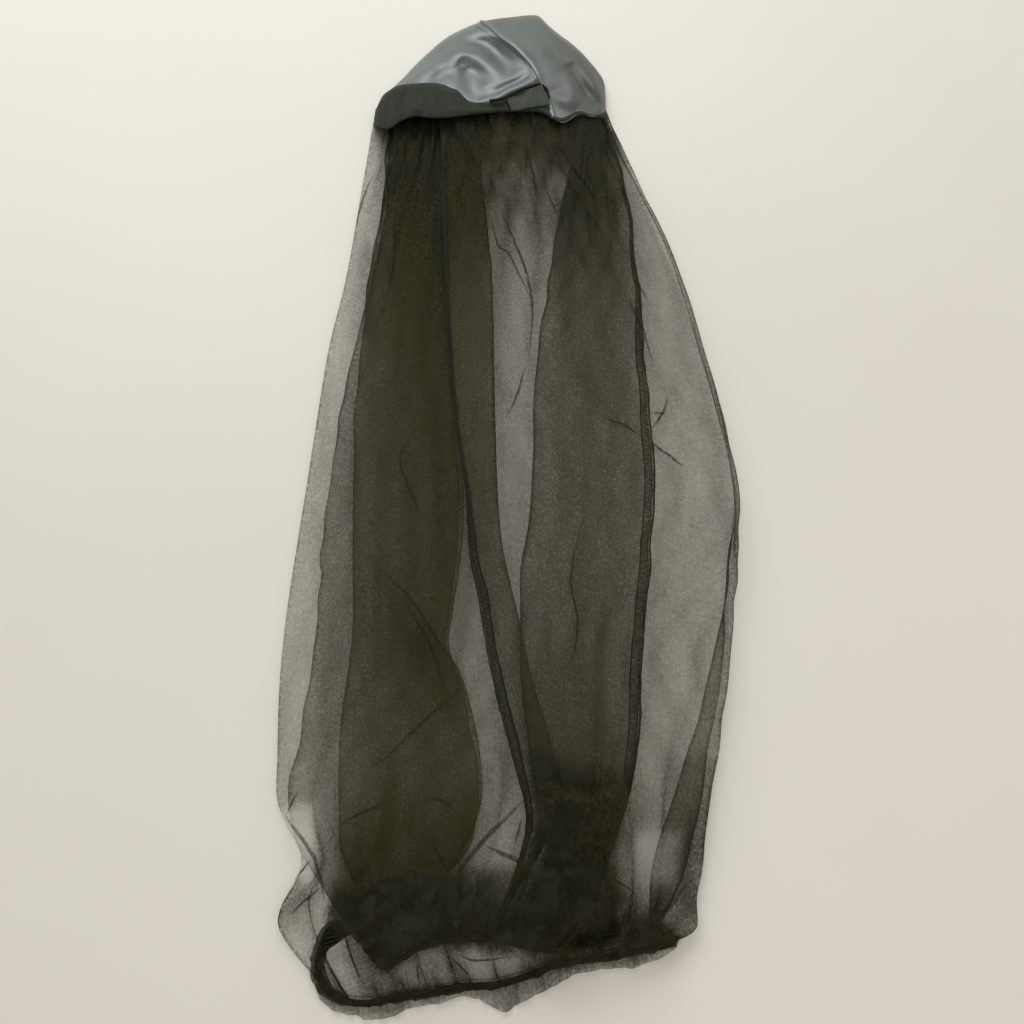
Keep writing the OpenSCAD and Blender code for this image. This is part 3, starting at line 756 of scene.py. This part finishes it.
ix, iy = place_x.astype(int), place_y.astype(int)
part_x, part_y = place_x - ix, place_y - iy
base = ((tall[ix, iy] * (1 - part_x) + tall[ix + 1, iy] * part_x) * (1 - part_y)
        + (tall[ix, iy + 1] * (1 - part_x) + tall[ix + 1, iy + 1] * part_x) * part_y)
crumple = 4.2 * np.abs(noise(wx / 10, wy / 14, 125)) + 2.2 * np.abs(noise(wx / 5, wy / 8, 126))
hz = base + 0.4 + (0.6 + crumple) * full
kept = np.array([q for q in grid_faces(*hx.shape) if dense.ravel()[q].max() > 0.04])
used, kept = np.unique(kept, return_inverse=True)
heap_cloth = mesh_piece(
    "net_heaps", laid(hx, hy, hz).reshape(-1, 3)[used], kept.reshape(-1, 4), net_material, "netting",
    uv=pairs(wx * 1.5, wy * 1.5)[used],
    cover=(dense * (0.8 + 0.5 * noise(wx / 7, wy / 9, 127))).ravel()[used])


# ---------------------------------------------------------------- panel seams
def seam(name, at, width, lean, open_from, replaces, stitches):
    """A seam allowance beside one panel seam: a net strip, its two rolled edges and the thread over it."""
    column = int(np.abs(u - at).argmin())
    path = real[3:-3, column] + [0, 0, 0.5]
    path = blur(path, 0.8, 0)
    run = distances(path)
    fine = np.arange(0, run[-1], 1.8)
    path = walk(path, run, fine)
    share = fine / fine[-1]
    half = width / 2 * (0.3 + 0.7 * step(share, *open_from)) * (0.25 + 0.75 * step(1 - share, 0.02, 0.22))
    half = half * (1 + 0.12 * noise(fine / 11, 5.3, 72))
    path[:, 0] += lean * half + 0.3 * noise(fine / 16, 0.3, 71)
    n = len(path)
    profile = np.array([[-1, 0, 0], [-0.4, 0, 0.14], [0.4, 0, 0.14], [1, 0, 0]])
    strip = path[:, None] + half[:, None, None] * profile
    allowance = grid_piece(name + "_allowance", strip, hem_material, "netting",
                           uv=pairs(fine[:, None], np.arange(4) * width / 3), cover=np.full(4 * n, 0.75))
    edges = []
    for side, radius, seed in ((-1, 0.42, 73), (1, 0.55, 74)):
        edge = path + half[:, None] * [side, 0, 0] + [0, 0, 0.15]
        edge[:, 0] += 0.22 * noise(fine / 4, 0.3, seed)
        size = radius * (1 + 0.35 * noise(fine / 5, 2.3, seed))
        edges.append(tube(edge, size[:, None, None] * circle(7)))
    welt = mesh_piece(name, *joined(edges), seam_material, "seam_netting", [replaces])
    # overlock thread: across the allowance and back, once every 2.8 mm
    zig = np.arange(0, fine[-1] - 2, 0.7)
    side = np.sin(2 * np.pi * zig / 2.8)
    line = walk(path, fine, zig)
    line[:, 0] += side * np.interp(zig, fine, half) * 1.05
    line[:, 2] += 0.5
    thread = mesh_piece(name + "_thread", *tube(line, 0.15 * DIAMOND), thread_material, "thread", [stitches])
    return [welt, allowance, thread]


seam_pieces = seam("seam_left", SEAM_LEFT, 4.6, 0.7, (0.5, 0.64), "side_seam_left",
                   "side_seam_left_stitches")
seam_pieces += seam("seam_right", SEAM_RIGHT, 5.2, -0.7, (0.2, 0.48), "side_seam_right",
                    "side_seam_right_stitches")


# ---------------------------------------------------------------- crown
OUTLINE = [(-91, 226), (-88, 236), (-82, 245), (-74, 255), (-66, 266), (-57, 277), (-49, 286), (-41, 293),
           (-31, 299), (-21.5, 304), (-10, 306.5), (1, 308), (12, 309.5), (18, 309.2), (24.6, 301.5),
           (32, 293.5), (40.6, 285.3), (47, 278), (52.3, 270.5), (58, 261.5), (61.7, 254), (62.8, 242),
           (62.5, 226)]
SEAM_TOP = [(-21.5, 304), (-15, 299), (-9, 291.5), (0, 284), (8, 274), (13.5, 266), (18, 256), (21.5, 246),
            (25, 232), (27, 222)]
BASE = [(-91, 226), (-85, 238), (-78, 244.3), (-63, 247.3), (-50, 247.0), (-38, 242.7), (-28, 234),
        (-18, 233.5), (-4, 236.5), (6, 241), (16, 240), (25, 226), (32, 221.5), (45, 227), (54, 224),
        (62.5, 226)]
# Soft folds of the crown cloth: middle line, how far it stands out (or in), and how wide it is.
LEFT_FOLDS = [
    ([(-37, 289), (-27, 287), (-17, 281), (-9, 272), (-3, 264), (3, 259)], -7.0, 9.5),
    ([(-34, 300), (-18, 297), (-7, 288), (3, 277), (10, 267)], 1.4, 7.0),
    ([(-48, 281), (-36, 278), (-26, 277), (-16, 268), (-9, 258), (-8, 246)], 3.4, 6.0),
    ([(-38, 269), (-29, 264), (-22, 257), (-17, 249)], -3.6, 6.0),
    ([(-34, 264), (-29, 254), (-26, 246), (-20, 236)], -3.4, 6.0),
    ([(17, 264), (15, 255), (8, 250), (-3, 244), (-12, 238), (-24, 236)], 3.6, 4.2),
    ([(12, 259), (5, 253), (-3, 249), (-13, 240)], -2.4, 2.3),
    ([(-84, 247), (-70, 256), (-56, 264), (-42, 272), (-32, 282)], 4.6, 9.0),
    ([(-66, 268), (-54, 278), (-42, 287)], -2.6, 6.5),
    ([(-54, 249), (-48, 258), (-45, 266)], -1.8, 5.5),
    ([(-20, 303), (-9, 293), (3, 282), (12, 271), (17, 258)], 2.4, 3.6)]
RIGHT_FOLDS = [
    ([(20, 306), (14, 290), (20, 268), (28, 246)], 1.8, 9.0),
    ([(26, 290), (34, 272), (38, 252)], -1.4, 8.0),
    ([(30, 244), (36, 236), (44, 231)], 3.0, 5.5),
    ([(38, 268), (43, 257), (49, 244), (58, 229)], -6.4, 5.2),
    ([(54, 258), (57, 246), (60, 236)], 2.0, 3.6),
    ([(36, 262), (42, 248), (40, 234)], 1.6, 4.0)]
ALL_FOLDS = LEFT_FOLDS + RIGHT_FOLDS
CLOTH = 0.0004


def ridge(x, y, points, height, width):
    """A soft fold of cloth along a polyline."""
    places = np.linspace(0, 1, 60)
    p = along(points, places)
    ends = np.sin(np.pi * places) ** 0.8
    distance = np.hypot(x[..., None] - p[:, 0], y[..., None] - p[:, 1])
    near = distance.argmin(-1)
    return height * ends[near] * np.exp(-(distance.min(-1) / width) ** 2)


def crown_height(x, y, up, folds):
    """Height of the upper crown cloth; up is 0 at the base and 1 at the outline."""
    arch = crown_arch(x)
    dome = 19 * np.sqrt(np.clip(1 - up ** 2.4, 0, 1)) * arch
    relief = sum(ridge(x, y, *fold) for fold in folds)
    relief = relief + 0.8 * noise(x / 22, y / 18, 80) + 0.35 * noise(x / 9, y / 12, 81)
    return 3.4 + dome + relief * np.clip((1 - up) * 5, 0, 1) * np.clip(arch * 1.6, 0, 1)


def crown_panel(name, base, top, seam_last, folds, material, node):
    """One gore: its upper half, round the laid outline, and its lower half, as one shell."""
    n_side, n_up, n_edge = 72, 64, 14
    a = np.linspace(0, 1, n_side)
    edge = 0.9 + 0.1 * np.sin(np.linspace(0.1, np.pi / 2, n_edge))
    up = np.concatenate([np.linspace(0, 0.9, n_up - n_edge), edge])
    low_line, high_line = along(base, a), along(top, a)
    seam_line = along(SEAM_TOP[::-1], up)
    at_seam = -1 if seam_last else 0
    to_seam = a if seam_last else 1 - a
    # a patch between base, outline and seam
    flat = (1 - up)[:, None, None] * low_line[None] + up[:, None, None] * high_line[None]
    line = (1 - up)[:, None] * low_line[at_seam] + up[:, None] * high_line[at_seam]
    flat = flat + to_seam[None, :, None] * (seam_line - line)[:, None]
    up_grid = np.broadcast_to(up[:, None], flat.shape[:2])
    x, y = flat[..., 0], flat[..., 1]
    # both gores share one height at the seam
    toward = to_seam[None] ** 6
    z = crown_height(x, y, up_grid, folds)
    shared = crown_height(x, y, up_grid, ALL_FOLDS)
    z = z * (1 - toward) + shared * toward
    low = 0.7 + 2.7 * up_grid ** 6 + 0.25 * (1 + noise(x / 14, y / 14, 84)) * (1 - up_grid)
    upper = laid(x, y, z)
    lower = laid(x, y, low)
    points = np.concatenate([upper, lower[::-1]])
    points[n_up - 1] = points[n_up] = (points[n_up - 1] + points[n_up]) / 2
    points = np.delete(points, n_up, 0)
    piece = grid_piece(name, points, material, "crown_cloth", [node])
    thick = piece.modifiers.new("cloth", "SOLIDIFY")
    thick.thickness = CLOTH
    thick.offset = -1
    return upper, lower


# the seam ends at these points of the outline and the base
APEX, FOOT = 9, 11
left_upper, left_lower = crown_panel("crown_left", BASE[:FOOT + 1], OUTLINE[:APEX + 1], True, LEFT_FOLDS,
                                     crown_left_highlit_material, "crown_panel_left")
crown_panel("crown_right", BASE[FOOT:], OUTLINE[APEX:], False, RIGHT_FOLDS, crown_right_material,
            "crown_panel_right")

# the crown's seam: a turned allowance, up the top, over the outline and back underneath
seam_path = np.concatenate([left_upper[:, -1] + [0.5, 0, 0.3], left_lower[::-1, -1] + [0, 0, 0.3]])
seam_run = distances(seam_path)
seam_at = np.arange(0, seam_run[-1], 1.2)
seam_path = blur(walk(seam_path, seam_run, seam_at), 1.5, 0)
puff = 1 + 0.12 * noise(seam_at / 5, 2.2, 85)
welt_section = puff[:, None, None] * (circle(12) * [1.7, 0.75])
mesh_piece("crown_seam", *tube(seam_path, welt_section), crown_left_highlit_material, "crown_cloth",
           ["crown_seam_welt"])


def stitch_row(name, path, gap, length, radius, replaces=()):
    """Short thread stitches along a path, each dipping into the cloth at its ends."""
    run = distances(path)
    parts = []
    for start in np.arange(1.0, run[-1] - length, gap):
        bit = walk(path, run, start + np.linspace(0, length, 6))
        bit[:, 2] += 0.2 * np.sin(np.linspace(0, np.pi, 6)) - 0.05 + radius * 0.5
        parts.append(tube(bit, radius * circle(6)))
    mesh_piece(name, *joined(parts), thread_material, "thread", replaces)


stitch_row("crown_seam_thread", left_upper[2:-4, -5], 3.4, 2.2, 0.13, ["crown_seam_stitches"])

# ---------------------------------------------------------------- crown band
band_rows, band_columns = 16, 170
w = np.linspace(0, 1, band_columns)
top_edge = along(BASE, w)
bottom_edge = along([(-91.5, 215), (-82, 213), (-74, 219), (-66, 223), (-55, 222), (-44, 222), (-25, 225),
                     (-1, 227), (20, 226), (33, 219), (46, 224.5), (62, 222)], w)
s = np.linspace(-0.12, 1, band_rows)
strip = top_edge[None] * (1 - s)[:, None, None] + bottom_edge[None] * s[:, None, None]
bx, by = strip[..., 0], strip[..., 1]
high = crown_height(bx, by, 0 * bx, ALL_FOLDS) + 1.0
high += 0.45 * noise(bx / 7, by / 40, 90) + 0.3 * noise(bx / 3.5, 0.5, 91)
high += ridge(bx, by, [(-60, 246), (-62, 224)], 0.9, 2.6) + ridge(bx, by, [(-42, 246), (-40, 222)], 0.9, 2.6)
# the top edge tucks under the crown, the lower edge turns down, and beside the lap the crown hangs over it
high -= 1.8 * step(s, 0.0, -0.12)[:, None] + 1.2 * step(s, 0.75, 1.0)[:, None] + 1.3 * step(bx, 24, 30)
upper_band = laid(bx, by, high)
domed = crown_arch(bx) ** 2
low_y = (1 - domed) * by + domed * (243 - 15 * s[:, None])
low_band = laid(bx, low_y, 0.5 + 0 * high)
loop = np.concatenate([upper_band, low_band[:, ::-1]], 1)
band = grid_piece("band_strip", loop, band_shaded_material, "band_cloth", ["crown_band"], wrap=True)
band.modifiers.new("cloth", "SOLIDIFY").thickness = 1.5 * CLOTH
stitch_row("band_thread", upper_band[3, 6:-50], 2.8, 2.0, 0.16, ["crown_band_stitches"])
stitch_row("band_thread_low", upper_band[-4, 6:-50], 2.8, 2.0, 0.16)

# the band's outer end, lapped over the crown
LAP = np.array([[-4, 237.5], [20, 250], [25.5, 233], [0, 227.5]])
gx, gy = np.meshgrid(np.linspace(0, 1, 36), np.linspace(0, 1, 20))
shares = [(1 - gx) * (1 - gy), gx * (1 - gy), gx * gy, (1 - gx) * gy]
flat = sum(share[..., None] * corner for share, corner in zip(shares, LAP))
flat = flat + 0.5 * np.stack([noise(gy * 5, gx * 2, 94), noise(gx * 5, gy * 2, 95)], -1)
lap_x, lap_y = flat[..., 0], flat[..., 1]
lap_z = blur(blur(crown_height(lap_x, lap_y, 0 * gx, ALL_FOLDS), 3, 0), 3, 1) + 2.0
lap_z += 0.5 * noise(lap_x / 6, lap_y / 6, 93) + 0.7 * np.sin(np.pi * gy)
lap = grid_piece("band_lap", laid(lap_x, lap_y, lap_z), lap_material, "band_cloth", ["crown_band_lap"])
lap.modifiers.new("cloth", "SOLIDIFY").thickness = 1.75 * CLOTH
# overlocked raw edge of the lap and of the band beside it
w = np.linspace(0, 1, 260)
edge_x, edge_y = along([(-15, 237), (-8, 238), (-2, 240.5), (6, 246), (13, 249), (19, 250.5), (23, 247),
                        (25, 240)], w).T
edge_z = crown_height(edge_x, edge_y, 0 * w, ALL_FOLDS) + 1.9
edge_line = laid(edge_x, edge_y, blur(edge_z, 5, 0) + 0.5)
rolled = edge_line - [0, 0, 0.9]
turns = w * 2 * np.pi * 24
edge_line[:, 1] += 1.0 * np.sin(turns)
edge_line[:, 0] += 0.4 * np.sin(turns + 0.8)
edge_line[:, 2] += 0.4 * np.cos(turns)
ring = 0.3 * circle(6)
mesh_piece("lap_thread", *joined([tube(edge_line, ring), tube(rolled, ring * [2.2, 3.4])]), seam_material,
           "thread")

# ---------------------------------------------------------------- neck casing, elastic and frill
angle = np.linspace(0, 2 * np.pi, 22, endpoint=False)
bunch = noise(arc / 2.6, 0.5, 101)[:, None] * 0.5 + noise(arc[:, None] / 2.2, angle / 1.3, 102) * 0.5
ends_meet = np.minimum(1, np.minimum(arc, round_neck - arc) / 6)[:, None]
bunch = bunch * ends_meet
# the casing is fullest where it turns at the loop's left end
wide = 1.8 + 0.7 * noise(arc / 8, 6.1, 109)[:, None] * ends_meet
wide += 1.9 * np.exp(-((ring_path[:, :1] + 94) / 8) ** 2)
sleeve = np.stack([np.cos(angle)[None] * (wide + bunch), np.sin(angle)[None] * (1.4 + 0.6 * bunch)], -1)
casing = mesh_piece("hem_casing", *tube(loop_real, sleeve, close=True), hem_material, "netting",
                    ["neck_casing"], uv=pairs(arc[:, None] * 2.3, angle[None] * 3), cover=1.0 + 0.4 * bunch)
band_section = [(1.5, 0.5), (0, 0.62), (-1.5, 0.5), (-1.5, -0.5), (0, -0.62), (1.5, -0.5)]
mesh_piece("hem_elastic", *tube(loop_real, band_section, close=True), elastic_material, "elastic",
           ["neck_elastic"])

ahead = np.roll(loop_real, -1, 0) - np.roll(loop_real, 1, 0)
outward = np.stack([ahead[:, 1], -ahead[:, 0]], -1)
outward /= np.linalg.norm(outward, axis=1, keepdims=True)
centre = loop_real[:, :2].mean(0)
if ((loop_real[:, :2] - centre) * outward).sum() < 0:
    outward = -outward
way = outward * 0.6 + [0, -1]
way /= np.linalg.norm(way, axis=1, keepdims=True)
deep = np.linspace(0, 1, 11)[:, None]
under = ring_path[:, 2] < 7
# how far the frill stands out below the elastic along the floor
FRILL = [(-97, 2.5), (-92, 5), (-86, 5), (-77, 4.5), (-67, 6), (-56, 6.5), (-52, 4.5), (-38, 4.5), (-19, 4),
         (-12, 7), (-5, 12), (2, 9.5), (12, 8), (22, 6.5), (30, 4.5), (46, 3.5), (60, 5.5), (72, 4),
         (82, 3)]
lower_reach = spline(FRILL, ring_path[:, 0]) + noise(arc / 5, 8.3, 104) + 0.7 * noise(arc / 11, 3.3, 103)
upper_reach = 2.4 + 0.8 * noise(arc / 13, 3.3, 103) + 0.6 * noise(arc / 5, 8.3, 104)
reach = blur(np.where(under, lower_reach, upper_reach), 3, 0, wrap=True)
ruffle = (np.sin(2 * np.pi * (arc / 9 + 0.8 * noise(arc / 17, 1.1, 105))) * 1.2
          + np.sin(2 * np.pi * (arc / 4.2 + 0.8 * noise(arc / 9, 2.1, 106))) * 0.6)
ruffle = ruffle * ends_meet[:, 0]
bend = 0.5 * noise(arc / 6, 6.6, 108) * ends_meet[:, 0]
frill_x = loop_real[:, 0] + way[:, 0] * (1.2 + deep * reach) + bend * deep * 2
frill_y = loop_real[:, 1] + way[:, 1] * (1.2 + deep * reach)
frill_z = np.maximum(loop_real[:, 2] * (1 - 0.35 * deep) + ruffle * (0.25 + 0.75 * deep) * 0.9, 0.4)
frill_cover = 0.85 - 0.15 * deep ** 0.5 + 0.3 * noise(arc / 6, 4.4, 107)[None] + 0.5 * (deep > 0.95)
frill = grid_piece("neck_frill", np.stack([frill_x, frill_y, frill_z], -1), hem_material, "netting",
                   wrap=True, uv=pairs(arc[None] * 2.2, deep * 8), cover=frill_cover)

row = loop_real + np.concatenate([way * -3.2, np.full((n_loop, 1), 1.3)], 1)
stitch_row("casing_thread", row, 2.8, 2.0, 0.2, ["neck_casing_stitches"])
# three bar tacks where the ends of the elastic lap
tacks = []
join_at = int(n_loop * 0.74)
side = np.array([*outward[join_at], 0])
for k in (-1, 0, 1):
    bar = loop_real[join_at + 3 * k] + np.linspace(-2.2, 2.2, 8)[:, None] * side + [0, 0, 0.75]
    tacks.append(tube(bar, 0.2 * DIAMOND))
mesh_piece("elastic_join_thread", *joined(tacks), thread_material, "thread", ["elastic_join_stitches"])

# ---------------------------------------------------------------- floor and light
n = Nodes("floor")
cloud = n.noise((2.2, 2.2, 2.2), 5.0, 0.6)
tone = n.ramp(cloud, [(0.3, (0.735, 0.692, 0.613)), (0.7, (0.775, 0.733, 0.655))])
floor_material = n.surface(Base_Color=tone, Roughness=0.5, Specular_IOR_Level=0.3)
mesh = bpy.data.meshes.new("floor")
mesh.from_pydata([(-3, -3, 0), (3, -3, 0), (3, 3, 0), (-3, 3, 0)], [], [(0, 1, 2, 3)])
mesh.materials.append(floor_material)
floor = bpy.data.objects.new("floor", mesh)
floor.location.z = -0.0002
scene.collection.objects.link(floor)

world = bpy.data.worlds.new("world")
world.use_nodes = True
world.node_tree.nodes["Background"].inputs["Color"].default_value = (1.0, 0.975, 0.935, 1)
world.node_tree.nodes["Background"].inputs["Strength"].default_value = 0.45
scene.world = world


def area_light(name, place, aim, size, power, colour):
    """A rectangular lamp in metres and watts."""
    data = bpy.data.lights.new(name, "AREA")
    data.shape = "RECTANGLE"
    data.size, data.size_y = size
    data.energy = power
    data.color = colour
    lamp = bpy.data.objects.new(name, data)
    lamp.location = place
    lamp.rotation_euler = (Vector(aim) - Vector(place)).to_track_quat("-Z", "Y").to_euler()
    scene.collection.objects.link(lamp)


area_light("window", (-0.35, 1.35, 1.15), (0, 0.1, 0), (1.6, 1.0), 24, (0.92, 0.975, 1.0))
area_light("fill", (0.5, -0.6, 1.6), (0, 0, 0), (1.6, 1.6), 6.3, (1.0, 0.965, 0.90))
